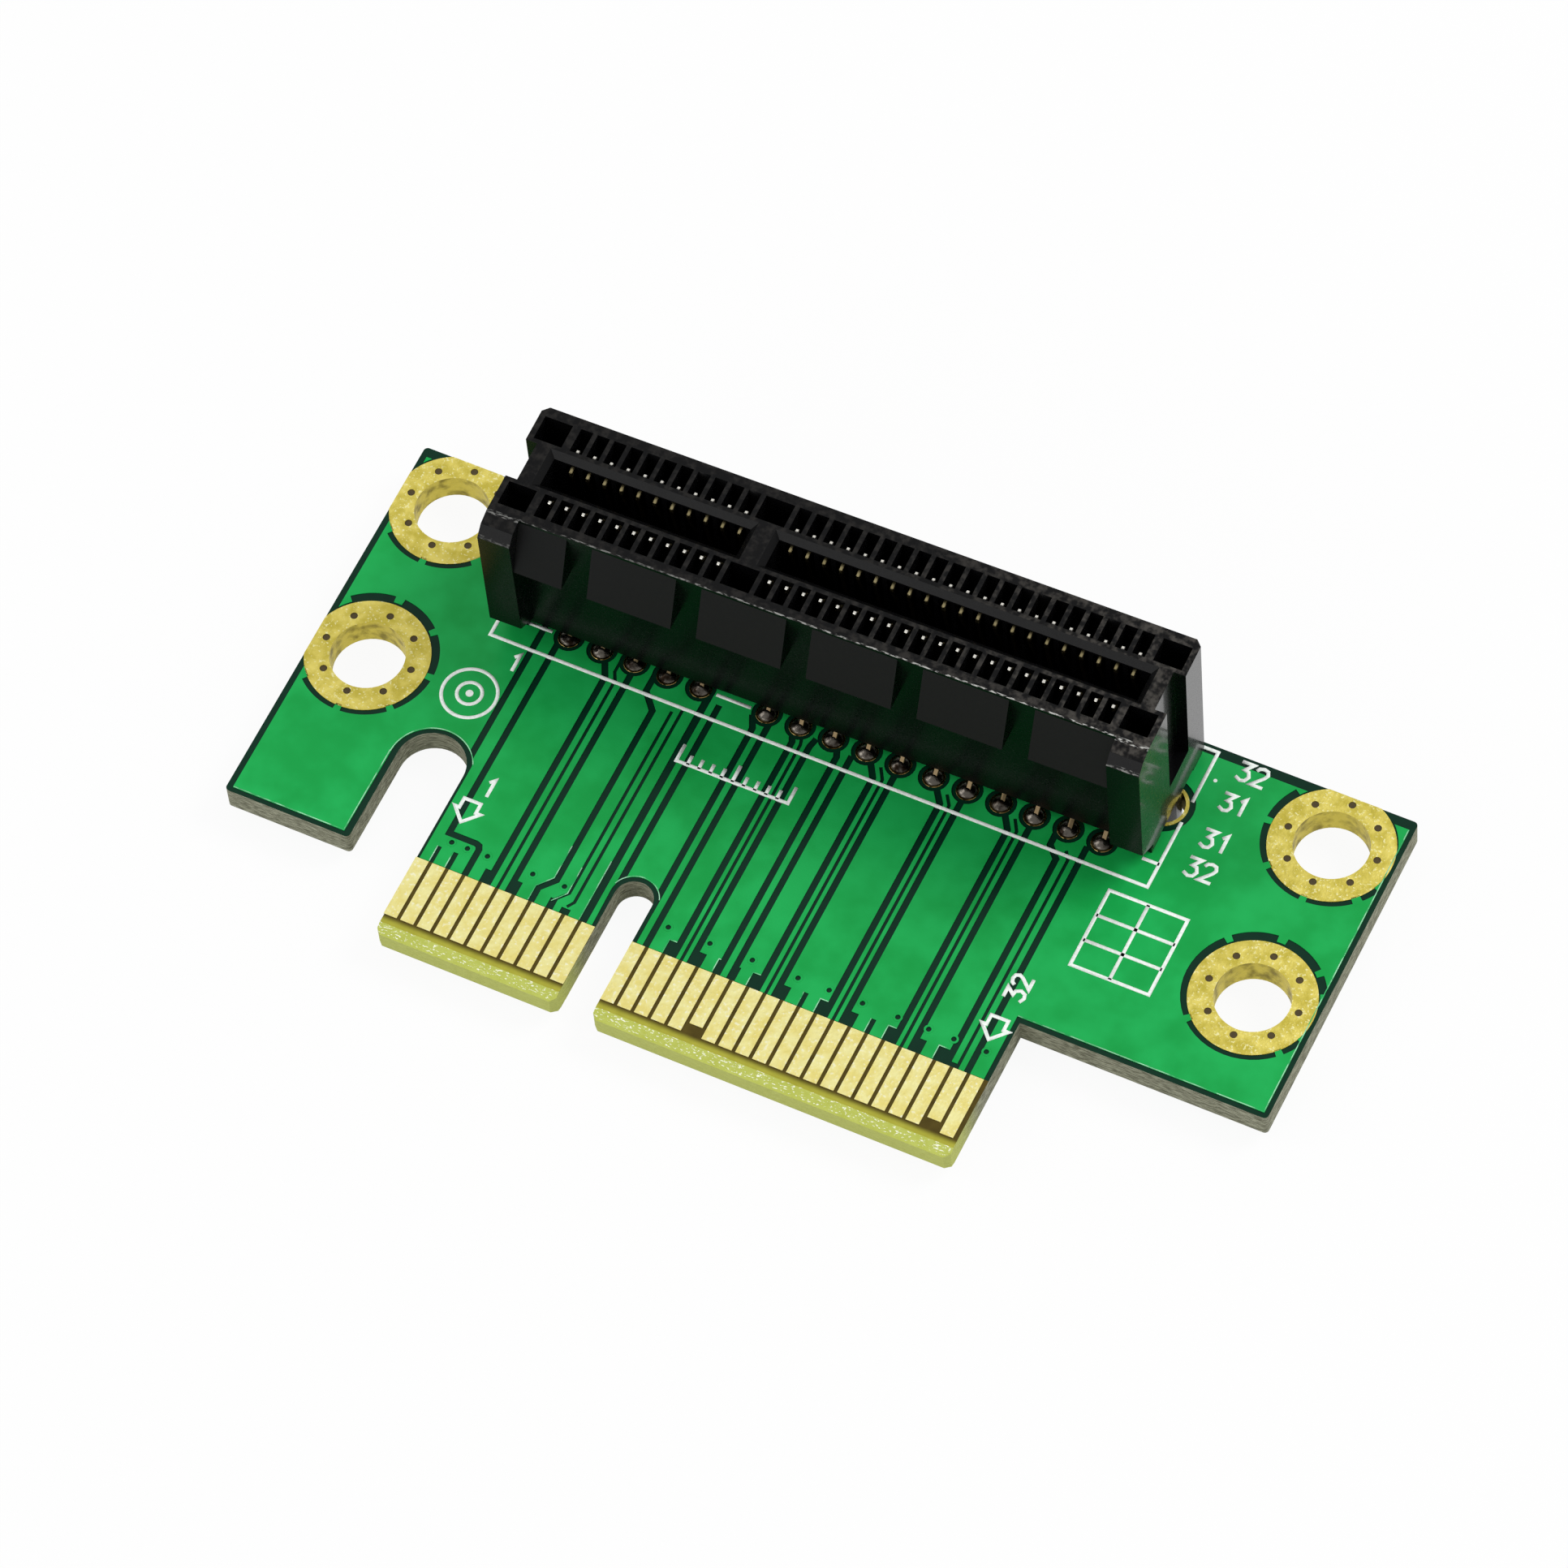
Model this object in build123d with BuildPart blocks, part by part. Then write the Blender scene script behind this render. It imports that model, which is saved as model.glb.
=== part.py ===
from build123d import *
import os
from math import cos, radians, sin, tan

# Riser card for a four-lane card slot: a small circuit board with a gold card edge and one upright connector.
# The origin is the centre of the four mounting holes on the board's underside. X runs along the fingers from
# the first pin to the last, Y points at the back edge and Z points up through the connector.

# Board, in millimetres: the reaches are measured forward from the back edge
board_thickness = 1.6
hole_span_x = 52.9
hole_span_y = 10.25
hole_radius = 2.1
left_margin = 3.25
right_margin = 3.7
back_margin = 3.15
slot_reach = 16.2
shoulder_reach = 19.8
tab_reach = 24.1
tip_reach = 28.7
slot_width = 3.95
corner_radius = 0.25
shoulder_radius = 0.55
tip_chamfer = 0.3
bevel_angle = 20
bevel_length = 0.6

# Pins, shared by the card edge and the connector
pitch = 1.0
key_span = 3.0
pins_before_key = 11
pins_after_key = 21
first_pin_x = -17.85

# Card edge
edge_margin_first = 0.35
edge_margin_last = 0.65
key_width = 2.2
key_depth = 8.5
finger_width = 0.78
finger_length = 3.85
finger_setback = 1.15
short_finger_step = 0.6
short_front_pins = (17, 31)
short_back_pins = (1,)

# Copper plating
foil = 0.05
barrel_wall = 0.1
land_radius = 3.5
peg_hole_radius = 1.2
peg_land_radius = 1.4
peg_overhang = 2.0

# Tail holes of the connector, in four rows about the footprint's centre line
footprint_y = 3.85
inner_row = 1.5
outer_row = 3.5
tail_hole_radius = 0.4
tail_hole_sides = 6
solder_radius = 0.6
solder_sides = 6
solder_taper = 24
solder_below = 0.6
solder_above = 0.4

# Connector housing: heights are above the board's top face
housing_turn = 1.0
housing_length = 38.7
housing_depth = 7.2
housing_height = 11.25
standoff = 1.0
rear_chamfer = 0.35
block_width = 1.9
block_reach = 1.35
block_shoulder_drop = 0.25
block_shoulder_reach = 0.8
block_nose_drop = 0.85
block_foot_height = 2.3
block_foot_slope = 0.9
ramp_foot_drop = 3.35
ramp_top_drop = 0.2
ramp_reach = 1.25
ramp_gap = 1.5
ramp_pitch = 6.48
ramp_gap_count = 5
ramp_gap_centre = -0.9
slot_half_width = 0.9
slot_end_wall = 1.85
slot_depth = 8.35
lead_in = 0.35
key_rib = 1.7
pocket_width = 0.72
pocket_inner = 1.5
pocket_length = 1.5
pocket_floor = 2.9
strip_height = 0.5
window_floor = 4.5
end_pocket_inset = 0.35
end_pocket_width = 1.65
end_groove_width = 2.5
end_groove_depth = 0.68
end_groove_floor = 3.7
peg_radius = 0.85
peg_tip = 0.9
peg_chamfer = 0.3
foot_width = 1.2
foot_inset = 0.2
key_foot_width = 1.2

# Spring contacts: distances are out from the slot's centre plane. The formed end hangs from the housing's
# top by the drops given, and the exit and tail have their heights above the board's top face.
contact_width = 0.5
contact_thickness = 0.2
contact_tip_out = 1.76
contact_tip_drop = 0.25
contact_crook_out = 1.7
contact_crook_drop = 0.7
contact_nose_out = 0.8
contact_nose_top_drop = 0.95
contact_nose_foot_drop = 1.35
contact_exit_inner = 1.9
contact_exit_outer = 2.75
contact_exit_height = 3.1
tail_kick_height = 0.15
tail_protrusion = 0.75
tail_clearance = 0.05

# Places that follow from the sizes
board_left = -hole_span_x / 2 - left_margin
board_right = hole_span_x / 2 + right_margin
board_back = hole_span_y / 2 + back_margin
board_front = board_back - tip_reach
board_width = board_right - board_left
tab_front = board_back - tab_reach
shoulder_front = board_back - shoulder_reach
last_pin_x = first_pin_x + (pins_before_key + pins_after_key - 2) * pitch + key_span
block_left = first_pin_x - edge_margin_first
block_right = last_pin_x + edge_margin_last
tab_right = block_left - slot_width
slot_centre_y = board_back - slot_reach - slot_width / 2
key_x = first_pin_x + (pins_before_key - 1) * pitch + key_span / 2
key_centre_y = board_front + key_depth - key_width / 2
footprint_x = (first_pin_x + last_pin_x) / 2
peg_span = last_pin_x - first_pin_x + 2 * peg_overhang
board_centre = ((board_left + board_right) / 2, (board_back + board_front) / 2)
nearly = 0.01

pin_count = pins_before_key + pins_after_key
pin_places = [
    first_pin_x + n * pitch + (key_span - pitch if n >= pins_before_key else 0) for n in range(pin_count)
]
pin_offsets = [x - footprint_x for x in pin_places]

os.makedirs("parts", exist_ok=True)


def finish(piece, name):
    """Name a finished piece and write it."""
    piece.label = name
    export_step(piece, f"parts/{name}.step")


def tail_row(side, outer):
    """The pins whose tails stand in one row: even pins in the outer rows and odd pins in the inner ones."""
    reach = outer_row if outer else inner_row
    first = 1 if outer else 0
    return [(pin_places[n], footprint_y + side * reach) for n in range(first, pin_count, 2)]


tail_rows = {
    "front_outer": (-1, True),
    "front_inner": (-1, False),
    "back_inner": (1, False),
    "back_outer": (1, True),
}
tail_places = [place for side, outer in tail_rows.values() for place in tail_row(side, outer)]
peg_places = [(footprint_x - peg_span / 2, footprint_y), (footprint_x + peg_span / 2, footprint_y)]

# The laminate: routed outline with a tab, a U slot beside it and the key notch in the card edge
with BuildPart() as board:
    with BuildSketch() as outline:
        with BuildLine():
            Polyline(
                (tab_right, slot_centre_y),
                (tab_right, tab_front),
                (board_left, tab_front),
                (board_left, board_back),
                (board_right, board_back),
                (board_right, shoulder_front),
                (block_right, shoulder_front),
                (block_right, board_front),
                (key_x + key_width / 2, board_front),
                (key_x + key_width / 2, key_centre_y),
            )
            ThreePointArc(
                (key_x + key_width / 2, key_centre_y),
                (key_x, key_centre_y + key_width / 2),
                (key_x - key_width / 2, key_centre_y),
            )
            Polyline(
                (key_x - key_width / 2, key_centre_y),
                (key_x - key_width / 2, board_front),
                (block_left, board_front),
                (block_left, slot_centre_y),
            )
            ThreePointArc(
                (block_left, slot_centre_y),
                (block_left - slot_width / 2, slot_centre_y + slot_width / 2),
                (tab_right, slot_centre_y),
            )
        make_face()
        corners = outline.vertices()
        tip_corners = corners.filter_by_position(Axis.Y, board_front - nearly, board_front + nearly)
        left_corners = corners.filter_by_position(Axis.X, board_left - nearly, board_left + nearly)
        right_corners = corners.filter_by_position(Axis.X, board_right - nearly, board_right + nearly)
        tab_corners = corners.filter_by_position(Axis.Y, tab_front - nearly, tab_front + nearly)
        shoulder = corners.filter_by_position(Axis.Y, shoulder_front - nearly, shoulder_front + nearly)
        chamfer(tip_corners, tip_chamfer)
        fillet(left_corners + right_corners + tab_corners.sort_by(Axis.X)[-1:], corner_radius)
        fillet(shoulder.sort_by(Axis.X)[:1], shoulder_radius)
    extrude(amount=board_thickness)

    # 20 degree bevel on both faces of the card edge, so that it slides into its slot
    bevel_rise = bevel_length * tan(radians(bevel_angle))
    with BuildSketch(Plane.YZ.offset(block_left)):
        for face_z, rise in ((0, bevel_rise), (board_thickness, -bevel_rise)):
            with BuildLine():
                Polyline(
                    (board_front, face_z),
                    (board_front + bevel_length / cos(radians(bevel_angle)), face_z),
                    (board_front, face_z + rise),
                    close=True,
                )
            make_face()
    extrude(amount=block_right - block_left, mode=Mode.SUBTRACT)

    # Drilled holes, each as wide as what stands in it; the tail holes have flats, as solder hides them
    with BuildSketch():
        with GridLocations(hole_span_x, hole_span_y, 2, 2):
            Circle(hole_radius + barrel_wall)
        with Locations(*peg_places):
            Circle(peg_hole_radius + barrel_wall)
        with Locations(*tail_places):
            RegularPolygon(tail_hole_radius, tail_hole_sides)
    extrude(amount=board_thickness, mode=Mode.SUBTRACT)

finish(board.part, "board")


def plated_hole(name, place, bore_radius, outer_radius):
    """A plated barrel with a land on each face, cut flush where it meets the board's edge."""
    with BuildPart() as ring:
        for level in (-foil, board_thickness):
            with BuildSketch(Plane.XY.offset(level)):
                with Locations(place):
                    Circle(outer_radius)
                with Locations(board_centre):
                    Rectangle(board_width, tip_reach, mode=Mode.INTERSECT)
            extrude(amount=foil)
        with BuildSketch(Plane.XY.offset(-foil)):
            with Locations(place):
                Circle(bore_radius + barrel_wall)
        extrude(amount=board_thickness + 2 * foil)
        with BuildSketch(Plane.XY.offset(-foil)):
            with Locations(place):
                Circle(bore_radius)
        extrude(amount=board_thickness + 2 * foil, mode=Mode.SUBTRACT)
    finish(ring.part, name)


# Gold-plated mounting holes, whose left and back lands reach the board's edge
for side_name, side in (("left", -1), ("right", 1)):
    for end_name, end in (("front", -1), ("back", 1)):
        hole = (side * hole_span_x / 2, end * hole_span_y / 2)
        plated_hole(f"mounting_land_{side_name}_{end_name}", hole, hole_radius, land_radius)

# Plated holes for the connector's two pegs
for side_name, place in zip(("left", "right"), peg_places):
    plated_hole(f"peg_ring_{side_name}", place, peg_hole_radius, peg_land_radius)


def fingers(name, level, pins, short_pins):
    """Gold pads of one stretch of the card edge, where the short ones meet the slot last."""
    with BuildPart() as pads:
        with BuildSketch(Plane.XY.offset(level)):
            for pin in pins:
                step = short_finger_step if pin in short_pins else 0
                with Locations((pin_places[pin - 1], board_front + finger_setback + step)):
                    Rectangle(finger_width, finger_length - step, align=(Align.CENTER, Align.MIN))
        extrude(amount=foil)
    finish(pads.part, name)


stretches = {"short": range(1, pins_before_key + 1), "long": range(pins_before_key + 1, pin_count + 1)}
for stretch, pins in stretches.items():
    fingers(f"fingers_front_{stretch}", board_thickness, pins, short_front_pins)
    fingers(f"fingers_back_{stretch}", -foil, pins, short_back_pins)

# The connector stands a little turned on its tails, so it has a plane of its own on the board's top face
seat = Plane(
    origin=(footprint_x, footprint_y, board_thickness),
    x_dir=(cos(radians(housing_turn)), sin(radians(housing_turn)), 0),
    z_dir=(0, 0, 1),
)


def section(along):
    """The plane across the connector at a distance along it: its x points back and its y points up."""
    return Plane(origin=seat.from_local_coords((along, 0, 0)), x_dir=seat.y_dir, z_dir=seat.x_dir)


wall_front = -housing_depth / 2
housing_end = housing_length / 2
block_inner = housing_end - block_width
ramp_foot = housing_height - ramp_foot_drop
slot_length = housing_length - 2 * slot_end_wall
block_front = wall_front - block_reach
key_offset = key_x - footprint_x
pocket_centre = pocket_inner + pocket_length / 2
pin_pockets = [(offset, side * pocket_centre) for offset in pin_offsets for side in (-1, 1)]
end_pocket_offset = housing_end - end_pocket_inset - end_pocket_width / 2

# One black moulding: two rows of contact pockets either side of the card slot, on feet and two pegs
with BuildPart() as connector_housing:
    with BuildSketch(seat.offset(standoff)):
        Rectangle(housing_length, housing_depth)
    extrude(amount=housing_height - standoff)
    upright_edges = connector_housing.edges().filter_by(Axis.Z)
    rear_edges = upright_edges.filter_by(lambda edge: seat.to_local_coords(edge.center()).Y > 0)
    chamfer(rear_edges, rear_chamfer)

    # End blocks stand proud of the front wall, with a sloped shoulder and an undercut foot
    for along in (-housing_end, block_inner):
        with BuildSketch(section(along)):
            with BuildLine():
                Polyline(
                    (wall_front, housing_height),
                    (wall_front - block_shoulder_reach, housing_height - block_shoulder_drop),
                    (block_front, housing_height - block_nose_drop),
                    (block_front, block_foot_height),
                    (wall_front, block_foot_height - block_foot_slope),
                    close=True,
                )
            make_face()
        extrude(amount=block_width)

    # Ramps between them, parted by gaps down to the wall
    with BuildSketch(section(-block_inner)):
        with BuildLine():
            Polyline(
                (wall_front, housing_height - ramp_top_drop),
                (wall_front - ramp_reach, ramp_foot),
                (wall_front, ramp_foot),
                close=True,
            )
        make_face()
    extrude(amount=2 * block_inner)
    with BuildSketch(seat.offset(ramp_foot)):
        with Locations((ramp_gap_centre, wall_front - ramp_reach / 2)):
            with GridLocations(ramp_pitch, 1, ramp_gap_count, 1):
                Rectangle(ramp_gap, ramp_reach)
    extrude(amount=ramp_foot_drop, mode=Mode.SUBTRACT)

    # Card slot in two cavities with a key rib between them and a lead-in all round
    with BuildSketch(seat.offset(housing_height)):
        Rectangle(slot_length, 2 * slot_half_width)
        with Locations((key_offset, 0)):
            Rectangle(key_rib, 2 * slot_half_width, mode=Mode.SUBTRACT)
    extrude(amount=-slot_depth, mode=Mode.SUBTRACT)
    top_face = connector_housing.faces().sort_by(Axis.Z)[-1]
    chamfer([edge for wire in top_face.inner_wires() for edge in wire.edges()], lead_in)

    # Contact pockets, and blind pockets of the same depth at the key and at both ends
    with BuildSketch(seat.offset(housing_height)):
        with Locations(*pin_pockets):
            Rectangle(pocket_width, pocket_length)
        with Locations((key_offset, -pocket_centre), (key_offset, pocket_centre)):
            Rectangle(key_rib, pocket_length)
        with GridLocations(2 * end_pocket_offset, 2 * pocket_centre, 2, 2):
            Rectangle(end_pocket_width, pocket_length)
    extrude(amount=pocket_floor - housing_height, mode=Mode.SUBTRACT)

    # Windows that let each contact's nose through to the slot, below the strip that holds its tip back
    window_length = pocket_inner - slot_half_width + lead_in
    window_centre = pocket_inner + nearly - window_length / 2
    with BuildSketch(seat.offset(window_floor)):
        with Locations(*[(offset, side * window_centre) for offset in pin_offsets for side in (-1, 1)]):
            Rectangle(pocket_width, window_length)
    extrude(amount=housing_height - strip_height - window_floor, mode=Mode.SUBTRACT)

    # Holes in the floor for the tails
    with BuildSketch(seat.offset(standoff)):
        for side, outer in tail_rows.values():
            exit_reach = contact_exit_outer if outer else contact_exit_inner
            offsets = pin_offsets[1::2] if outer else pin_offsets[0::2]
            with Locations(*[(offset, side * exit_reach) for offset in offsets]):
                Rectangle(contact_width + 2 * tail_clearance, contact_thickness + 2 * tail_clearance)
    extrude(amount=pocket_floor - standoff, mode=Mode.SUBTRACT)

    # Grooves down both end faces
    with BuildSketch(seat.offset(end_groove_floor)):
        with GridLocations(housing_length - end_groove_depth, 1, 2, 1):
            Rectangle(end_groove_depth, end_groove_width)
    extrude(amount=housing_height - end_groove_floor, mode=Mode.SUBTRACT)

    # Feet at the corners and the key keep the underside clear of the solder, and pegs go through the board
    foot_middle = foot_inset + foot_width / 2
    with BuildSketch(seat):
        with GridLocations(housing_length - 2 * foot_middle, housing_depth - 2 * foot_middle, 2, 2):
            Rectangle(foot_width, foot_width)
        with Locations((key_offset, 0)):
            Rectangle(key_rib, key_foot_width)
    extrude(amount=standoff)
    with BuildSketch(seat.offset(standoff)):
        with GridLocations(peg_span, 1, 2, 1):
            Circle(peg_radius)
    extrude(amount=-standoff - board_thickness - peg_tip)
    chamfer(connector_housing.faces().sort_by(Axis.Z)[:2].edges(), peg_chamfer)

finish(connector_housing.part, "connector_housing")


def contact_path(side, outer, place):
    """The strip's centre line across the connector, from its tip down to the end of its tail."""
    exit_reach = contact_exit_outer if outer else contact_exit_inner
    tail = side * seat.to_local_coords(Vector(*place, board_thickness)).Y
    formed = [
        (contact_tip_out, housing_height - contact_tip_drop),
        (contact_crook_out, housing_height - contact_crook_drop),
        (contact_nose_out, housing_height - contact_nose_top_drop),
        (contact_nose_out, housing_height - contact_nose_foot_drop),
    ]
    straight = [
        (exit_reach, contact_exit_height),
        (exit_reach, standoff),
        (tail, tail_kick_height),
        (tail, -board_thickness - tail_protrusion),
    ]
    return [(side * reach, height) for reach, height in formed + straight]


# Each contact is a formed strip whose tail leans from its exit to its own hole in the board
contact_rows = {}
for row, (side, outer) in tail_rows.items():
    with BuildPart() as contacts:
        for place in tail_row(side, outer):
            with BuildSketch(section(place[0] - footprint_x - contact_width / 2)):
                with BuildLine():
                    Polyline(*contact_path(side, outer, place))
                trace(line_width=contact_thickness)
            extrude(amount=contact_width)
    contact_rows[row] = contacts.part
    finish(contacts.part, f"contacts_{row}")

# A solder joint is a cone that narrows away from the board
solder_cones = {}
for face_side, reach in (("below", -solder_below), ("above", solder_above)):
    with BuildPart() as cone:
        with BuildSketch():
            RegularPolygon(solder_radius, solder_sides)
        extrude(amount=reach)
        flanks = cone.faces().filter_by(Axis.Z, reverse=True)
        draft(flanks, neutral_plane=Plane.XY, angle=solder_taper if reach > 0 else -solder_taper)
    solder_cones[face_side] = cone.part

# One joint round each tail under the board, and one above it where the outer rows wick up
for row, (side, outer) in tail_rows.items():
    with BuildPart() as solder:
        with Locations(*tail_row(side, outer)):
            add(solder_cones["below"])
        if outer:
            with Locations(*[(x, y, board_thickness) for x, y in tail_row(side, outer)]):
                add(solder_cones["above"])
        add(contact_rows[row], mode=Mode.SUBTRACT)
    finish(solder.part, f"solder_{row}")
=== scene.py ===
import random
from math import cos, pi, radians, sin

import bpy
from mathutils import Matrix, Vector


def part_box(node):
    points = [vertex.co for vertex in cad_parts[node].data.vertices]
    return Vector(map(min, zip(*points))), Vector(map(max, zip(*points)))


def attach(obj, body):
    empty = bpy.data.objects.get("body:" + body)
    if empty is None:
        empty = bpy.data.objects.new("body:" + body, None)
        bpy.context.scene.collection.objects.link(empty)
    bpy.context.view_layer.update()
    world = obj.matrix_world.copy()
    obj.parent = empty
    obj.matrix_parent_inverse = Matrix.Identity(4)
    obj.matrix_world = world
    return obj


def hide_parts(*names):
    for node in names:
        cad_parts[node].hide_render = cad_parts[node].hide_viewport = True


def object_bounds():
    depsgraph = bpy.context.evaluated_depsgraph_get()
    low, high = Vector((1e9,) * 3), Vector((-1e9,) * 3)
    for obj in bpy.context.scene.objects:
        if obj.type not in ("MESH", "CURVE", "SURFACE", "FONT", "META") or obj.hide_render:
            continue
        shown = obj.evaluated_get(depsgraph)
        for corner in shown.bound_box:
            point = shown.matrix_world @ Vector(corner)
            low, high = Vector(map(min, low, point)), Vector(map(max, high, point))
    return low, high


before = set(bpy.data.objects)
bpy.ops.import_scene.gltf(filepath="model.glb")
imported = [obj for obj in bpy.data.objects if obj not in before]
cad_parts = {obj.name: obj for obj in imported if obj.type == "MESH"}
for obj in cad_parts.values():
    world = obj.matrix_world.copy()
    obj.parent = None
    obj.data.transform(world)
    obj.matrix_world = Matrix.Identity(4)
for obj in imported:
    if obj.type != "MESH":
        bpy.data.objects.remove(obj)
cad_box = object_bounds()

# Laminate. The board is glass-epoxy, routed to its outline, with both faces of the card edge bevelled.
# Dark green solder mask covers the faces but not the finger zone. The routed walls show grey-brown
# glass layers, and the bevel shows yellow-green resin with the white ends of cut glass bundles.
MM = 1000
board_low, board_high = (Vector(corner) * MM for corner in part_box("board"))
board_top = board_high.z
card_tip = board_low.y
finger_low, finger_high = (Vector(corner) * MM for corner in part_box("fingers_front_short"))
middle_short_pin = 6
pin_zero = (finger_low.x + finger_high.x) / 2 - middle_short_pin
mask_reach = 5.03
finger_block = (pin_zero + 0.5, pin_zero + 34.8)


class Maths:
    """A shader value in a Python expression: each operator adds the Math node that works it out."""

    def __init__(self, finish, socket):
        self.finish = finish
        self.socket = socket

    def through(self, operation, *values):
        return self.finish.node("ShaderNodeMath", {"operation": operation}, dict(enumerate(values)))

    def __add__(self, other):
        return self.through("ADD", self, other)

    def __radd__(self, other):
        return self.through("ADD", other, self)

    def __sub__(self, other):
        return self.through("SUBTRACT", self, other)

    def __rsub__(self, other):
        return self.through("SUBTRACT", other, self)

    def __mul__(self, other):
        return self.through("MULTIPLY", self, other)

    def __rmul__(self, other):
        return self.through("MULTIPLY", other, self)

    def __gt__(self, other):
        return self.through("GREATER_THAN", self, other)

    def __lt__(self, other):
        return self.through("LESS_THAN", self, other)

    def __abs__(self):
        return self.through("ABSOLUTE", self)

    def rise(self, low, high):
        """0 below low and 1 above high, with a smooth way between them."""
        edges = {0: self, 1: low, 2: high}
        return self.finish.node("ShaderNodeMapRange", {"interpolation_type": "SMOOTHSTEP"}, edges)


class Finish:
    """A material whose nodes all come from one method: its settings first, then its sockets."""

    def __init__(self, name, sockets):
        self.material = bpy.data.materials.new(name)
        self.material.use_nodes = True
        self.tree = self.material.node_tree
        self.shader = self.tree.nodes["Principled BSDF"]
        self.fill(self.shader, sockets)

    def fill(self, node, sockets):
        for key, value in sockets.items():
            if isinstance(value, Maths):
                self.tree.links.new(value.socket, node.inputs[key])
            else:
                node.inputs[key].default_value = value

    def node(self, kind, settings, sockets, output=0):
        node = self.tree.nodes.new(kind)
        for key, value in settings.items():
            setattr(node, key, value)
        self.fill(node, sockets)
        return Maths(self, node.outputs[output])

    def split(self, vector):
        """The three parts of a vector."""
        return [self.node("ShaderNodeSeparateXYZ", {}, {0: vector}, axis) for axis in range(3)]

    def place(self, stretch=(1, 1, 1)):
        """Where a point lies, in millimetres, and stretched for a pattern that runs one way."""
        spot = self.node("ShaderNodeTexCoord", {}, {}, "Object")
        factors = [MM * factor for factor in stretch]
        return self.node("ShaderNodeVectorMath", {"operation": "MULTIPLY"}, {0: spot, 1: factors})

    def facing(self):
        """The parts of the direction in which the surface faces."""
        return self.split(self.node("ShaderNodeNewGeometry", {}, {}, "True Normal"))

    def noise(self, scale, detail=2.0, stretch=(1, 1, 1)):
        """Soft noise with so many cells to the millimetre."""
        sockets = {"Vector": self.place(stretch), "Scale": scale, "Detail": detail}
        return self.node("ShaderNodeTexNoise", {}, sockets)

    def mix(self, share, first, second):
        """One colour in another, by share."""
        settings = {"data_type": "RGBA"}
        return self.node("ShaderNodeMix", settings, {0: share, 6: first, 7: second}, 2)

    def finished(self, sockets):
        self.fill(self.shader, sockets)
        return self.material

    def bump(self, height, depth):
        """Surface relief of the given depth in millimetres."""
        return self.node("ShaderNodeBump", {}, {"Height": height, "Distance": depth / MM}, "Normal")


def paint(code):
    """The shader's linear colour for a screen colour such as 21a850."""
    levels = [int(code[i : i + 2], 16) / 255 for i in (0, 2, 4)]
    return [v / 12.92 if v <= 0.04045 else ((v + 0.055) / 1.055) ** 2.4 for v in levels] + [1]


def laminate_finish():
    finish = Finish("laminate", {"Specular IOR Level": 0.16})
    x, y, _ = finish.split(finish.place())
    steepness = abs(finish.facing()[2])
    flat = steepness > 0.97
    wall = steepness < 0.5
    in_block = (x > finger_block[0]) * (x < finger_block[1])
    bare = (y < card_tip + mask_reach) * in_block
    masked = flat * (1 - bare)
    grain = finish.noise(1.6, 5, (1, 1, 3))
    fibres = finish.noise(2.2, 4, (1, 1, 7))
    specks = finish.noise(5.5, 3, (1, 2.2, 1))

    between_fingers = finish.mix(grain, paint("3a2f08"), paint("5c4e1c"))
    strip = finish.mix(grain, paint("96932a"), paint("b3b044"))
    near_tip = 1 - y.rise(card_tip + 0.75, card_tip + 1.15)
    resin = finish.mix(near_tip, between_fingers, strip)
    glint = specks.rise(0.56, 0.68) * (y > card_tip + 0.1)
    bevel = finish.mix(glint, finish.mix(grain, paint("a9b143"), paint("c3cb6c")), paint("f6f8e2"))
    routed = finish.mix(fibres.rise(0.3, 0.7), paint("5a5a48"), paint("a3a48e"))
    card_wall = finish.mix(fibres, paint("a4a94e"), paint("c8cf7c"))
    walls = finish.mix(y.rise(card_tip + 0.6, card_tip + 4.5), card_wall, routed)
    mask = finish.mix(grain, paint("04281b"), paint("083322"))
    colour = finish.mix(flat, bevel, resin)
    colour = finish.mix(wall, colour, walls)
    colour = finish.mix(masked, colour, mask)
    roughness = 0.75 - 0.5 * masked
    relief = finish.bump(fibres * wall + specks * (1 - flat) * 0.6, 0.05)
    return finish.finished({"Base Color": colour, "Roughness": roughness, "Normal": relief})


def coat(node, material):
    """A CAD node that keeps its shape gets its finish."""
    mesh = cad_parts[node].data
    mesh.materials.clear()
    mesh.materials.append(material)


coat("board", laminate_finish())

# Copper under the mask. The two outer copper layers are flooded and cut into traces by narrow gaps;
# mask lies over them, bright green on copper and dark green in the gaps. Positions are millimetres:
# across from where a finger number 0 would be, and back from the card edge's tip.
copper = 0.05
broken_edge = 0.028
land_clearance = 3.52
pad_clearance = 0.88
peg_clearance = 1.75
via_hole = 0.15
via_rim = 0.27
moat_radius = 3.7
gap_overcut = 0.1
wide_gap = 0.38
narrow_gap = 0.19
circle_steps = 48
sharp_turn = radians(40)
tail_rows = (20.775, 22.775, 25.775, 27.775)
hole_places = [(x, y) for x in (-7.6, 45.3) for y in (15.425, 25.675)]
peg_places = [(-1.0, 24.275), (36.0, 24.275)]
pins = [pin + 1 if pin < 11 else pin + 3 for pin in range(32)]
tails = [(pin, tail_rows[1 - index % 2]) for index, pin in enumerate(pins)]
tails += [(pin, tail_rows[2 + index % 2]) for index, pin in enumerate(pins)]


def at(across, back):
    """A point of the board's plane, in the frame's own millimetres."""
    return (pin_zero + across, card_tip + back)


def arc(centre, radius, start, end, steps=circle_steps):
    """Points along an arc from one angle to another, in degrees."""
    turns = [radians(start + (end - start) * step / steps) for step in range(steps + 1)]
    return [(centre[0] + radius * cos(turn), centre[1] + radius * sin(turn)) for turn in turns]


def ring(centre, radius, steps=24):
    return arc(centre, radius, 0, 360 * (1 - 1 / steps), steps - 1)


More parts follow.
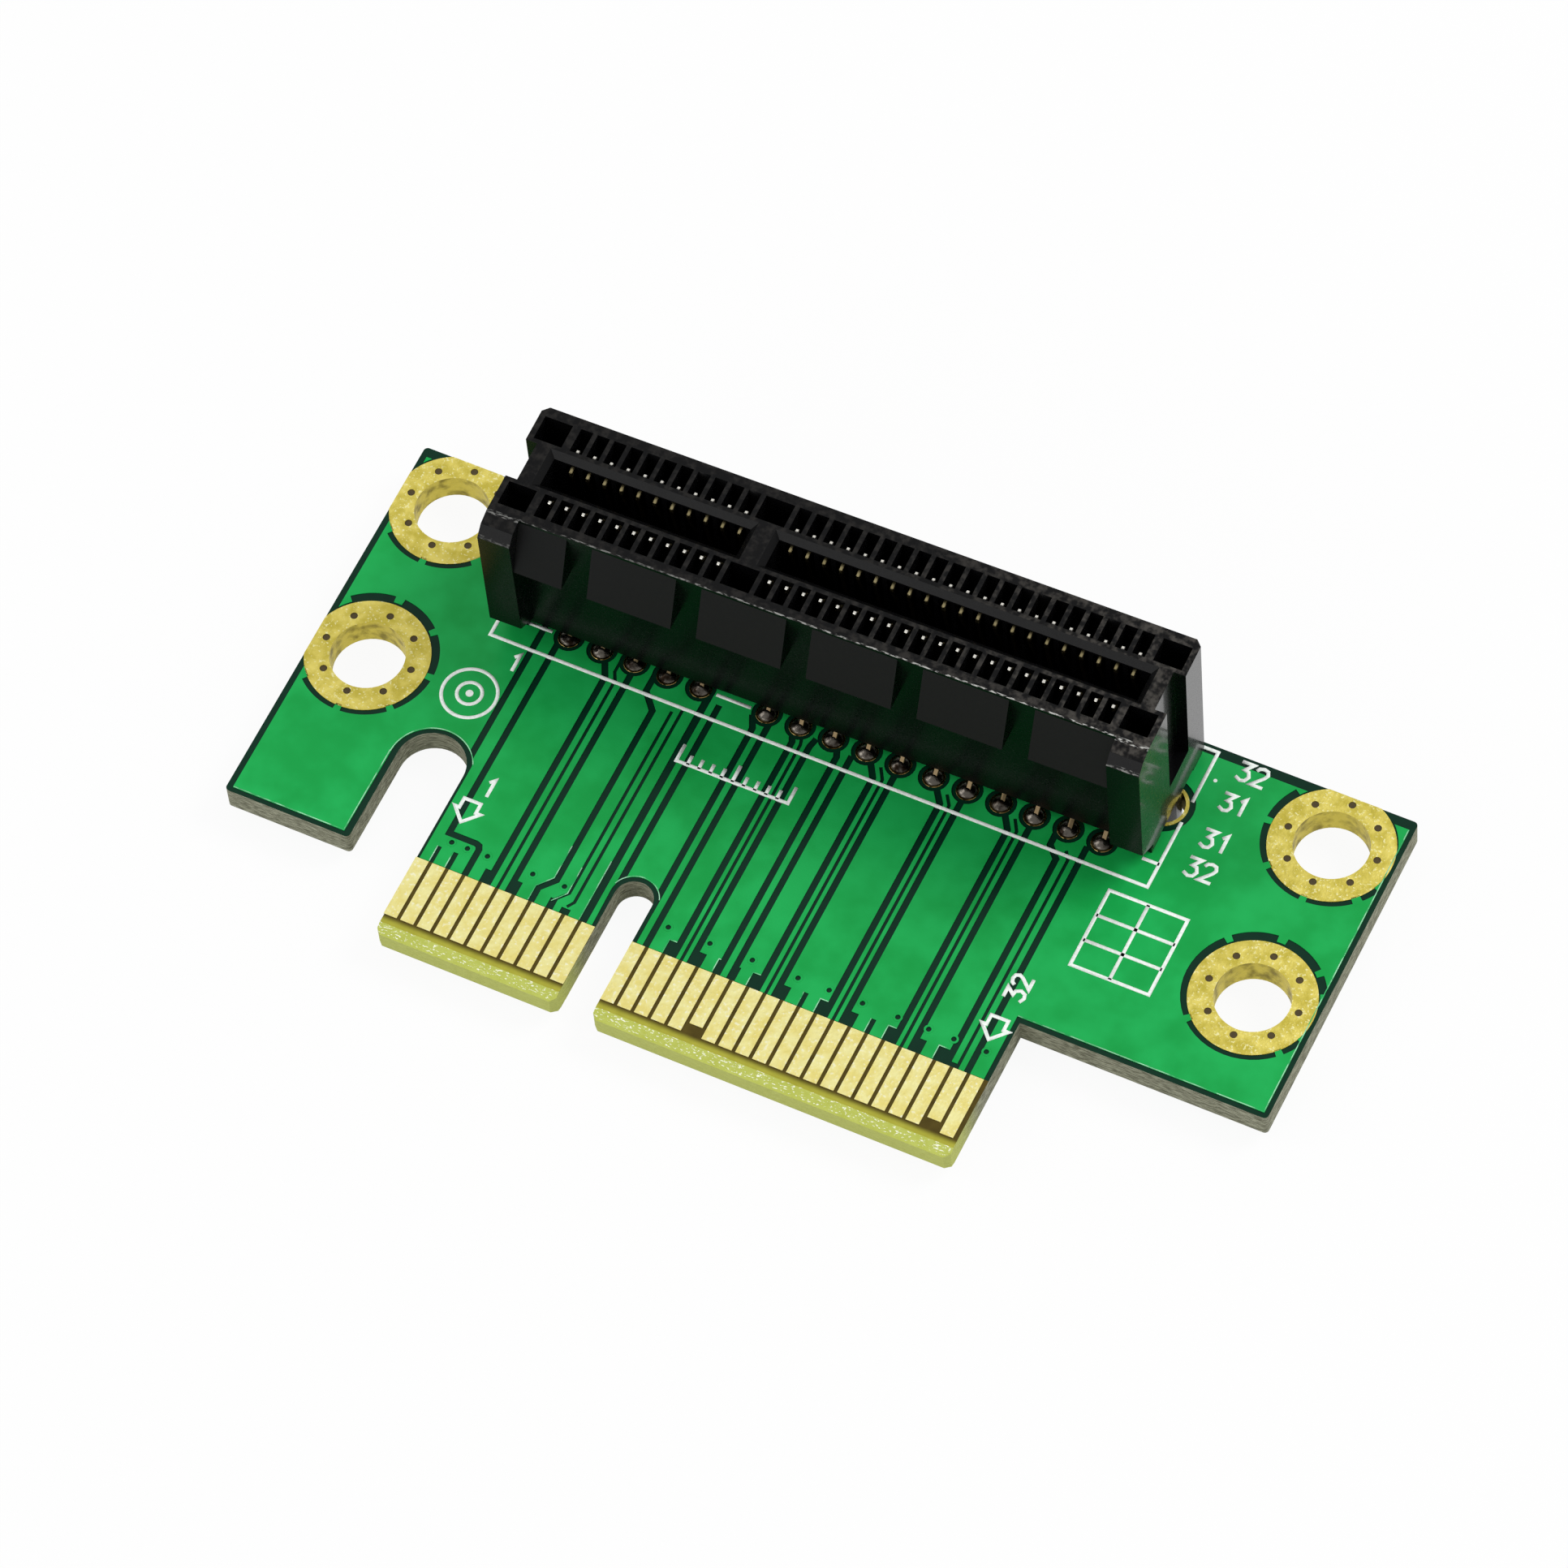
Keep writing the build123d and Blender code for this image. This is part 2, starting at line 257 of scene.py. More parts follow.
def only(piece):
    """Selects one piece and nothing else."""
    bpy.ops.object.select_all(action="DESELECT")
    piece.select_set(True)
    bpy.context.view_layer.objects.active = piece


def drawn(name, lines, low, high, filled):
    """Lines drawn on the board's plane and raised from one height to another, as one mesh."""
    curve = bpy.data.curves.new(name, "CURVE")
    curve.dimensions = "2D"
    curve.fill_mode = "BOTH" if filled else "NONE"
    curve.extrude = (high - low) / 2
    for line in lines:
        closed = filled or line[0] == line[-1]
        points = line[:-1] if closed and line[0] == line[-1] else line
        spline = curve.splines.new("POLY")
        spline.points.add(len(points) - 1)
        for point, spot in zip(spline.points, points):
            point.co = (*at(*spot), 0, 1)
        spline.use_cyclic_u = closed
    piece = bpy.data.objects.new(name, curve)
    bpy.context.collection.objects.link(piece)
    only(piece)
    bpy.ops.object.convert(target="MESH")
    piece = bpy.context.object
    piece.location.z = (low + high) / 2
    bpy.ops.object.transform_apply()
    bpy.ops.object.mode_set(mode="EDIT")
    bpy.ops.mesh.select_all(action="SELECT")
    bpy.ops.mesh.remove_doubles(threshold=0.0001)
    bpy.ops.mesh.normals_make_consistent(inside=False)
    bpy.ops.object.mode_set(mode="OBJECT")
    return piece


def apply(piece, kind, **settings):
    """A modifier with its settings, applied to the piece."""
    only(piece)
    modifier = piece.modifiers.new(kind.lower(), kind)
    for key, value in settings.items():
        setattr(modifier, key, value)
    bpy.ops.object.modifier_apply(modifier=modifier.name)
    return piece


def chamfer(piece, width, turn=sharp_turn):
    """Breaks every edge of the piece that turns by more than the given angle."""
    return apply(piece, "BEVEL", width=width, segments=1, limit_method="ANGLE", angle_limit=turn)


def plate(name, outlines, low, high):
    return drawn(name, outlines, low, high, filled=True)


def strokes(name, width, lines, low, high):
    walls = drawn(name, lines, low, high, filled=False)
    return apply(walls, "SOLIDIFY", thickness=width, offset=0, use_even_offset=True)


def joined(pieces):
    """Several pieces as one."""
    only(pieces[0])
    for piece in pieces:
        piece.select_set(True)
    bpy.ops.object.join()
    return pieces[0]


def cut(piece, cutters):
    """Takes the cutters' shapes out of the piece, all at once."""
    cutter = joined(cutters)
    apply(piece, "BOOLEAN", operation="DIFFERENCE", solver="EXACT", use_self=True, object=cutter)
    bpy.data.objects.remove(cutter)
    return piece


def settle(piece, material):
    """A piece drawn in millimetres takes its real size and its finish, and rides with the part."""
    only(piece)
    piece.scale = (1 / MM, 1 / MM, 1 / MM)
    bpy.ops.object.transform_apply()
    piece.data.materials.clear()
    piece.data.materials.append(material)
    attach(piece, "root")
    return piece


def copper_finish():
    finish = Finish("mask_over_copper", {"Specular IOR Level": 0.16})
    cloud = finish.noise(0.35, 3)
    weave = finish.noise(2.4, 2, (1, 4, 1))
    colour = finish.mix(cloud.rise(0.3, 0.7), paint("129a44"), paint("1dac54"))
    relief = finish.bump(weave, 0.004)
    return finish.finished({"Base Color": colour, "Roughness": 0.28 + 0.1 * weave, "Normal": relief})


flood_outline = [
    (-10.48, 4.88),
    (-3.69, 4.88),
    *arc((-1.325, 10.4), 2.33, 180, 24),
    (0.82, 11.2),
    (0.82, mask_reach),
    (11.18, mask_reach),
    *arc((12.5, 7.4), 1.36, 180, 0),
    (13.86, mask_reach),
    (34.37, mask_reach),
    (34.37, 9.2),
    (48.72, 9.2),
    (48.72, 28.1),
    (-10.48, 28.1),
]
# Gaps between traces, by width: each runs from the finger zone back to the connector's pads.
wide_gaps = [
    [(0.47, 11.2), (0.47, 21.5)],
    [(1.59, 20.3), (1.59, 7.05), (3.2, 7.05), (3.42, 6.98), (3.53, 6.75), (3.53, 5.0)],
    [(4.9, 5.0), (4.9, 19.3), (4.4, 20.3)],
    [(6.13, 5.0), (6.13, 20.6)],
    [(7.52, 5.0), (7.52, 5.95), (8.22, 6.75), (8.22, 18.4), (7.35, 19.4), (7.35, 20.8)],
    [(11.4, 7.0), (11.4, 20.2)],
    [(13.68, 7.0), (13.68, 19.6), (13.3, 20.4)],
    [(14.4, 5.0), (14.4, 20.2)],
    [(16.02, 5.0), (16.02, 19.7), (15.8, 20.2)],
    [(17.02, 5.0), (17.02, 19.8), (17.15, 20.4)],
    [(18.64, 5.0), (18.64, 19.8), (18.4, 20.4)],
    [(19.37, 5.0), (19.37, 20.2)],
    [(21.0, 5.0), (21.0, 19.4), (20.5, 20.2)],
    [(22.02, 5.0), (22.02, 20.2)],
    [(25.0, 5.0), (25.0, 19.4), (24.5, 20.1)],
    [(26.0, 5.0), (26.0, 20.2)],
    [(29.02, 5.0), (29.02, 19.4), (28.5, 20.2)],
    [(30.05, 5.0), (30.05, 20.2)],
    [(32.17, 5.0), (32.17, 18.8), (31.5, 19.5), (31.5, 20.6)],
    [(33.38, 5.0), (33.38, 20.2)],
]
narrow_gaps = [
    [(5.51, 5.0), (5.51, 19.3), (5.25, 19.8), (5.25, 20.8)],
    [(9.21, 18.8), (9.21, 6.3), (8.61, 5.6)],
    [(9.71, 19.2), (9.71, 5.9), (9.45, 5.5)],
    [(16.52, 5.0), (16.52, 19.7), (16.35, 20.3)],
    [(21.53, 5.0), (21.53, 19.5), (21.1, 20.2)],
    [(25.51, 5.0), (25.51, 19.5), (25.1, 20.1)],
    [(29.52, 5.0), (29.52, 19.5), (29.1, 20.2)],
    [(32.78, 5.0), (32.78, 19.0), (32.45, 19.5)],
]
# Wider clearings beside the fingers, and the short slits between two fingers of one net: each from
# its left side to its right, and how far back it reaches.
clearings = [
    (4.39, 5.0, 5.88),
    (5.95, 6.63, 5.88),
    (8.4, 8.82, 5.7),
    (9.2, 9.75, 5.4),
    (10.42, 10.86, 20.8),
    (15.41, 16.1, 5.9),
    (16.9, 17.64, 5.9),
    (18.36, 18.8, 5.9),
    (19.2, 19.68, 5.9),
    (20.38, 21.1, 5.9),
    (21.9, 22.65, 5.9),
    (24.37, 25.1, 5.9),
    (25.9, 26.64, 5.9),
    (28.38, 29.1, 5.9),
    (29.9, 30.64, 5.9),
    (31.36, 32.3, 5.9),
    (32.3, 32.85, 5.3),
    (1.4, 1.63, 6.1),
    (2.36, 2.64, 6.1),
    (23.39, 23.65, 5.95),
    (27.36, 27.64, 5.95),
]
via_places = [(x, 6.57) for x in (1.98, 2.93, 4.14, 6.87, 8.78, 15.0, 17.48, 20.0, 22.71, 24.55)]
via_places += [(x, 6.57) for x in (26.52, 28.6, 30.41, 31.89, 33.79)]
moat_width = 0.42
moat_arcs = {
    hole_places[3]: [(144, 178), (184, 222), (228, 266), (272, 310), (318, 333)],
    hole_places[2]: [(48, 86), (94, 132), (138, 222), (228, 312), (318, 335), (25, 42)],
    hole_places[0]: [(94, 132), (48, 86), (3, 42), (318, 357), (273, 312), (228, 267)],
    hole_places[1]: [(228, 267), (273, 312)],
}


def flood(name, level, lines_by_width, blocks, vias):
    """One copper layer with its gaps, moats and clearances cut out, and its edges just broken."""
    bottom, top = level
    layer = plate(name, [flood_outline], bottom, top)
    low = bottom - gap_overcut
    high = top + gap_overcut
    cutters = [strokes("gap", width, lines, low, high) for width, lines in lines_by_width.items()]
    start = mask_reach - gap_overcut
    for left, right, reach in blocks:
        corners = [(left, start), (right, start), (right, reach), (left, reach)]
        cutters.append(plate("clearing", [corners], low, high))
    rounds = [
        (hole_places, land_clearance, 64),
        (tails, pad_clearance, 24),
        (peg_places, peg_clearance, 32),
        (vias, via_hole, 12),
    ]
    for places, radius, steps in rounds:
        if places:
            cutters.append(plate("round", [ring(place, radius, steps) for place in places], low, high))
    moats = [arc(hole, moat_radius, *span, 12) for hole, spans in moat_arcs.items() for span in spans]
    cutters.append(strokes("moat", moat_width, moats, low, high))
    cut(layer, cutters)
    return chamfer(layer, broken_edge)


copper_green = copper_finish()
front_level = (board_top, board_top + copper)
back_level = (board_low.z - copper, board_low.z)
front_gaps = {wide_gap: wide_gaps, narrow_gap: narrow_gaps}
front_flood = flood("mask_over_copper_front", front_level, front_gaps, clearings, via_places)
settle(front_flood, copper_green)
back_gaps = {wide_gap: wide_gaps[2:4] + wide_gaps[7:18:2], narrow_gap: narrow_gaps[3:7]}
back_flood = flood("mask_over_copper_back", back_level, back_gaps, clearings[6:16], [])
settle(back_flood, copper_green)

# Mask ridges, with a painted highlight. Where the mask climbs over a copper edge that faces the front
# or right, that edge catches the light; pale strokes paint this line. They follow the pour's border and
# the ends of its gaps.
ridge_width = 0.055
ridge_level = (board_top + copper - 0.02, board_top + copper + 0.006)


def painted_highlight_finish():
    finish = Finish("mask_ridge_painted_highlight", {"Specular IOR Level": 0.5, "Roughness": 0.15})
    broken = finish.noise(1.1, 4)
    # The pale colour is a painted highlight on the copper edge.
    colour = finish.mix(broken.rise(0.4, 0.6), paint("2fae62"), paint("9fdcb4"))
    return finish.finished({"Base Color": colour})


pour_highlight_ridges = [
    [(-3.73, 4.92), (-10.44, 4.92)],
    [(-3.73, 4.92), (-3.73, 10.4), *arc((-1.325, 10.4), 2.37, 180, 24)],
    [(34.41, 9.24), (48.68, 9.24), (48.68, 28.06)],
    arc((12.5, 7.4), 1.4, 160, 20, 24),
    [(1.38, 6.1), (1.38, 5.05)],
    [(2.33, 6.1), (2.33, 5.05)],
    [(7.33, 5.05), (7.33, 6.02), (8.03, 6.83), (8.03, 9.0)],
    [(8.5, 5.5), (9.12, 6.25), (9.12, 8.0)],
    [(10.4, 5.05), (10.4, 9.0)],
    [(15.38, 5.05), (15.38, 5.93), (15.84, 5.93)],
    [(18.33, 5.05), (18.33, 5.93), (18.46, 5.93)],
    [(20.35, 5.05), (20.35, 5.93), (20.82, 5.93)],
    [(23.36, 5.05), (23.36, 5.95)],
    [(24.34, 5.05), (24.34, 5.93), (24.82, 5.93)],
    [(27.33, 5.05), (27.33, 5.95)],
    [(28.35, 5.05), (28.35, 5.93), (28.84, 5.93)],
    [(31.33, 5.05), (31.33, 5.93), (31.98, 5.93)],
]
highlight_ridges = strokes("mask_ridges_painted_highlight", ridge_width, pour_highlight_ridges, *ridge_level)
settle(highlight_ridges, painted_highlight_finish())

# Small vias. Each joins the two copper layers beside a finger, and its rim stands a little proud of
# the mask that closes over it.
rim_height = copper + 0.02
rim_edge = 0.012
rim_rings = []
for place in via_places:
    rim_rings += [ring(place, via_rim, 16), ring(place, via_hole, 12)]
via_rims = plate("via_rims", rim_rings, board_top, board_top + rim_height)
chamfer(via_rims, rim_edge)
settle(via_rims, copper_green)

# Legend. White ink is printed over the mask: the connector's outline, pin numbers with their arrows,
# and plain marks. Each mark is drawn with a pen of one width.
digit_strokes = {
    "1": [(0.12, 0.78), (0.34, 1), (0.34, 0)],
    "2": [(0, 0.78), (0.1, 0.94), (0.31, 1), (0.52, 0.94), (0.6, 0.74), (0.5, 0.54), (0, 0), (0.62, 0)],
    "3": [(0, 1), (0.6, 1), (0.28, 0.6), (0.5, 0.56), (0.62, 0.3), (0.5, 0.06), (0.28, 0), (0, 0.14)],
}
digit_step = 0.82
pen_width = 0.2
arrow = [(-0.5, 1.42), (0.5, 1.42), (0.5, 0.8), (0.76, 0.8)]
arrow += [(0, 0), (-0.76, 0.8), (-0.5, 0.8), (-0.5, 1.42)]
scale_marks = [(10.8 + 0.67 * step, 17.2 if step % 5 == 0 else 16.7) for step in range(11)]


def number(digits, corner, height, turned=False):
    """Strokes of a number from its lower left corner, running across or turned to run back."""
    lines = []
    for index, digit in enumerate(digits):
        spots = [((x + digit_step * index) * height, y * height) for x, y in digit_strokes[digit]]
        spots = [(-y, x) for x, y in spots] if turned else spots
        lines.append([(corner[0] + x, corner[1] + y) for x, y in spots])
    return lines


def box(left, front, right, back):
    return [(left, front), (right, front), (right, back), (left, back), (left, front)]


ink_lines = [
    [(37.37, 23.6), (37.37, 19.2), (-2.05, 19.2), (-2.05, 28.37), (37.37, 28.37), (37.37, 24.98)],
    [(-0.84, 20.72), (1.0, 20.72)],
    [(10.97, 20.72), (13.06, 20.72)],
    [(36.37, 20.72), (37.37, 20.72)],
    *number("32", (38.8, 27.25), 1.15),
    *number("31", (38.75, 25.17), 1.08),
    *number("31", (38.75, 22.67), 1.12),
    *number("32", (38.7, 20.72), 1.15),
    *number("1", (2.03, 9.87), 1.12),
    *number("32", (34.25, 10.0), 1.08, turned=True),
    *number("1", (-0.3, 17.57), 1.1),
    [(1.85 + x, 7.92 + y) for x, y in arrow],
    [(33.58 + x, 7.3 + y) for x, y in arrow],
    arc((-1.39, 15.37), 1.55, 0, 360),
    arc((-1.39, 15.37), 0.7, 0, 360, 24),
    box(35.6, 13.2, 40.2, 18.2),
    [(37.9, 13.2), (37.9, 18.2)],
    [(35.6, 14.87), (40.2, 14.87)],
    [(35.6, 16.53), (40.2, 16.53)],
    [(10.8, 16.1), (17.5, 16.1)],
    *[[(x, 16.1), (x, top)] for x, top in scale_marks],
]
ink_dots = [ring((37.95, 26.7), 0.11, 12), ring((-1.39, 15.37), 0.22, 12)]
ink_top = board_top + copper + 0.012


def ink_finish():
    finish = Finish("white_ink", {"Roughness": 0.55, "Specular IOR Level": 0.3})
    thin = finish.noise(6, 3)
    colour = finish.mix(thin.rise(0.35, 0.75), paint("f6faf6"), paint("dfebe2"))
    return finish.finished({"Base Color": colour, "Normal": finish.bump(thin, 0.01)})


white_ink = ink_finish()
pen_marks = strokes("legend", pen_width, ink_lines, board_top, ink_top)
dot_marks = plate("dots", ink_dots, board_top, ink_top)
settle(joined([pen_marks, dot_marks]), white_ink)

# Plated mounting and peg holes. The barrels and lands are copper under nickel and gold, bright and
# slightly pebbled. Eight small vias pierce each mounting land round its screw head.


def gold_finish(name, dark, light, glint, pebble):
    finish = Finish(name, {"Metallic": 0.8})
    cloud = finish.noise(1.3, 4)
    grit = finish.noise(pebble, 3)
    colour = finish.mix(cloud.rise(0.3, 0.72), paint(dark), paint(light))
    # The glint colour paints highlight specks on the pebble.
    colour = finish.mix(grit.rise(0.56, 0.7) * 0.8, colour, paint(glint))
    # Walls, such as the barrels' bores, are painted darker gold with darker patches: painted shade
    # inside the bore.
    wall = abs(finish.facing()[2]) < 0.5
    colour = finish.mix(wall, colour, paint(dark))
    colour = finish.mix(wall * cloud.rise(0.4, 0.7), colour, paint("8a7c22"))
    relief = finish.bump(grit, 0.02)
    return finish.finished({"Base Color": colour, "Roughness": 0.4 + 0.2 * grit, "Normal": relief})


def copy_of(node):
    """A CAD node's shape in millimetres, merged, as a piece that stands for the node."""
    piece = bpy.data.objects.new(f"{node}_detailed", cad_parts[node].data.copy())
    bpy.context.collection.objects.link(piece)
    piece.data.transform(Matrix.Scale(MM, 4))
    only(piece)
    bpy.ops.object.mode_set(mode="EDIT")
    bpy.ops.mesh.select_all(action="SELECT")
    bpy.ops.mesh.remove_doubles(threshold=0.0005)
    bpy.ops.mesh.dissolve_limited(angle_limit=radians(0.5))
    bpy.ops.object.mode_set(mode="OBJECT")
    return piece


land_gold = gold_finish("land_gold", "d0c04c", "f2e276", "fffbc4", 7)
land_nodes = {"left": {"front": 0, "back": 1}, "right": {"front": 2, "back": 3}}
land_via_reach = 2.6
land_via_radius = 0.215
land_overcut = 0.2
plug_rise = 0.015
land_vias = []
for side, ends in land_nodes.items():
    for end, index in ends.items():
        node = f"mounting_land_{side}_{end}"
        land = copy_of(node)
        centre = hole_places[index]
        places = arc(centre, land_via_reach, 0, 315, 7)
        rings = [ring(place, land_via_radius, 12) for place in places]
        land_vias += rings
        cut(land, [plate("vias", rings, board_low.z - land_overcut, board_top + land_overcut)])
        settle(land, land_gold)
        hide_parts(node)


# Dark brown fill in the vias' bores: painted shade of the narrow holes.
def via_shade_finish():
    finish = Finish("via_painted_shade", {"Roughness": 0.5})
    grain = finish.noise(9, 2)
    return finish.finished({"Base Color": finish.mix(grain, paint("2a2006"), paint("54430f"))})


via_painted_shade = via_shade_finish()
plugs = plate("land_via_plugs", land_vias, board_low.z - plug_rise, board_top + plug_rise)
settle(plugs, via_painted_shade)
for side in ("left", "right"):
    coat(f"peg_ring_{side}", land_gold)

# Fingers. Hard gold over nickel, paler than the lands, with a faint pebble.
finger_gold = gold_finish("finger_gold", "f6e88c", "fff8b0", "fffee0", 5)
for face in ("front", "back"):
    for stretch in ("short", "long"):
        coat(f"fingers_{face}_{stretch}", finger_gold)

# Tail pads and solder. Each tail stands in a tinned pad, and solder wicks up round it in a low cone.
# Flux has browned most of the joints, and their tin is painted darker too, as painted shade.
pad_radius = 0.64
pad_bore = 0.38
pad_edge = 0.015
pad_rings = []
for place in tails:
    pad_rings += [ring(place, pad_radius, 20), ring(place, pad_bore, 12)]


def tin_finish(name, tin, flux):
    finish = Finish(name, {"Metallic": 1.0})
    stain = finish.noise(1.9, 3)
    grit = finish.noise(6, 2)
    colour = finish.mix(stain.rise(0.42, 0.66), paint(tin), paint(flux))
    relief = finish.bump(grit, 0.015)
    return finish.finished({"Base Color": colour, "Roughness": 0.14 + 0.25 * stain, "Normal": relief})


pad_tin = tin_finish("pad_tin", "b49a5c", "54401c")
pad_tin_height = 0.045
pad_levels = {
    "front": (board_top, board_top + pad_tin_height),
    "back": (board_low.z - pad_tin_height, board_low.z),
}
for face, (low, high) in pad_levels.items():
    pads = plate(f"tail_pads_{face}", pad_rings, low, high)
    chamfer(pads, pad_edge)
    settle(pads, pad_tin)

# Dark tin and brown flux: partly flux stain, partly painted shade.
flux_and_painted_shade_solder = tin_finish("flux_and_painted_shade_solder", "66615a", "1e1610")
solder_profile = [(0.54, 0.0), (0.53, 0.05), (0.46, 0.13), (0.34, 0.2)]
solder_profile += [(0.22, 0.27), (0.12, 0.33), (0.0, 0.34)]
profile_mesh = bpy.data.meshes.new("solder_joint")
profile_edges = [(step, step + 1) for step in range(len(solder_profile) - 1)]
profile_mesh.from_pydata([(reach, 0, height) for reach, height in solder_profile], profile_edges, [])
joint = bpy.data.objects.new("solder_joint", profile_mesh)
bpy.context.collection.objects.link(joint)
only(joint)
bpy.ops.object.mode_set(mode="EDIT")
bpy.ops.mesh.select_all(action="SELECT")
bpy.ops.mesh.spin(steps=14, angle=2 * pi, center=(0, 0, 0), axis=(0, 0, 1))
bpy.ops.mesh.select_all(action="SELECT")
bpy.ops.mesh.remove_doubles(threshold=0.001)
bpy.ops.mesh.normals_make_consistent(inside=False)
bpy.ops.object.mode_set(mode="OBJECT")
bpy.ops.object.shade_smooth()
chance = random.Random(7)
for row, name in enumerate(("front_outer", "front_inner", "back_inner", "back_outer")):
    first = 1 if row in (0, 3) else 0
    faces = (0, pi) if row in (0, 3) else (pi,)
    joints = []
    for pin in pins[first::2]:
        for face in faces:
            level = board_top if face == 0 else board_low.z
            spot = Vector((*at(pin, tail_rows[row]), level))
            size = Matrix.Diagonal((1, 1, chance.uniform(0.8, 1.05), 1))
            lean = Matrix.Rotation(face + chance.uniform(-0.08, 0.08), 4, "X")
            copied = joint.data.copy()
            copied.transform(Matrix.Translation(spot) @ lean @ size)
            piece = bpy.data.objects.new(f"solder_{name}_joints", copied)
            bpy.context.collection.objects.link(piece)
            joints.append(piece)
    settle(joined(joints), flux_and_painted_shade_solder)
    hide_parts(f"solder_{name}")
bpy.data.objects.remove(joint)

# Contacts. Formed phosphor-bronze strips, narrower at the tip and on the tail: dull gold on the nose
# that grips the card, a near-white painted highlight on the tip, a blade painted darker as shade inside
# the housing, and browned tin on the tails.


def contact_finish():
    finish = Finish("contact_metal", {"Metallic": 1.0})
    height = finish.split(finish.place())[2] - board_top
    stain = finish.noise(2.2, 3)
    nose = finish.mix(stain, paint("8a7a4c"), paint("c9bd92"))
    # The blade inside the housing is painted darker: painted shade.
    painted_shade_blade = finish.mix(stain, paint("3a3018"), paint("5e5030"))
    tail = finish.mix(stain, paint("4e402a"), paint("85745a"))
    colour = finish.mix(height.rise(3.2, 5.0), tail, painted_shade_blade)
    colour = finish.mix(height.rise(9.9, 10.2), colour, nose)
    # Near-white tips: a painted highlight.
    colour = finish.mix(height.rise(10.8, 10.95), colour, paint("fbf8ee"))
    roughness = 0.22 + 0.25 * stain
    return finish.finished({"Base Color": colour, "Roughness": roughness})


contact_metal = contact_finish()
strip_shoulder = board_top + 9.0
strip_foot = board_top + 2.0
strip_edge = 0.03
tip_share = 0.4
tail_share = 0.55
for row in ("front_outer", "front_inner", "back_outer", "back_inner"):
    node = f"contacts_{row}"
    only(copy_of(node))
    bpy.ops.object.mode_set(mode="EDIT")
    bpy.ops.mesh.select_all(action="SELECT")
    bpy.ops.mesh.separate(type="LOOSE")
    bpy.ops.object.mode_set(mode="OBJECT")
    strips = list(bpy.context.selected_objects)
    for strip in strips:
        points = strip.data.vertices
        tip = [point for point in points if point.co.z > strip_shoulder]
        tail = [point for point in points if point.co.z < strip_foot]
        for share, stretch in ((tip_share, tip), (tail_share, tail)):
            middle = sum(point.co.x for point in stretch) / len(stretch)
            for point in stretch:
                point.co.x = middle + share * (point.co.x - middle)
    strips = joined(strips)
    chamfer(strips, strip_edge)
    settle(strips, contact_metal)
    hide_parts(node)

# Connector housing. One black glass-filled moulding that stands on five feet, with two pegs in the
# board. Its ends are glossy and its ramps satin. Handling has left dust on the rim towards the right
# end. Pale lines along the front edges are partly rubs and partly a painted highlight.
housing_turn = radians(1.0)
housing_middle = at(17.5, 24.275)
housing_edge = 0.05
housing_sharp_turn = radians(30)


def moulding_finish():
    finish = Finish("black_moulding", {"Specular IOR Level": 0.12, "Coat Roughness": 0.08})
    x, y, z = finish.split(finish.place())
    height = z - board_top
    out = (y - housing_middle[1]) * cos(housing_turn) - (x - housing_middle[0]) * sin(housing_turn)
    across, _, up = finish.facing()
    cloud = finish.noise(0.5, 3)
    grain = finish.noise(5, 4)
    dust = finish.noise(2.6, 6)
    scratch = finish.noise(3.2, 6, (1, 3, 3))
    ramp = (up > 0.15) * (up < 0.5)
    rim = (up > 0.9) * (height > 10.9)
    front_edge = (up > 0.5) * (height > 11.0) * (out < -3.5) * (out > -3.75)
    nose_edge = (up > 0.5) * (up < 0.9) * (height < 10.6) * (height > 10.2) * (out < -4.8)
    # Pale marks along the front edges, brighter to the right: partly rubs, partly a painted edge
    # highlight.
    rubs_and_painted_highlight = (front_edge + nose_edge * 0.5) * (0.35 + 0.65 * x.rise(-12, 10))
    colour = finish.mix(cloud, paint("050506"), paint("0a0a0b"))
    colour = finish.mix(ramp, colour, finish.mix(grain, paint("0e0e0f"), paint("151516")))
    handled = 0.2 + 0.8 * x.rise(-5, 24)
    dusty = finish.mix(dust.rise(0.4, 0.7) * handled, paint("0b0b0c"), paint("474440"))
    colour = finish.mix(rim, colour, dusty)
    colour = finish.mix(rubs_and_painted_highlight * scratch.rise(0.45, 0.62), colour, paint("b4b4b0"))
    roughness = 0.24 + 0.08 * grain + 0.2 * ramp + 0.2 * rim
    relief = finish.bump(grain, 0.003)
    ends = abs(across) > 0.9
    looks = {"Base Color": colour, "Roughness": roughness, "Coat Weight": 0.42 * ends, "Normal": relief}
    return finish.finished(looks)


black_moulding = moulding_finish()
housing = copy_of("connector_housing")
chamfer(housing, housing_edge, housing_sharp_turn)
settle(housing, black_moulding)
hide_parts("connector_housing")

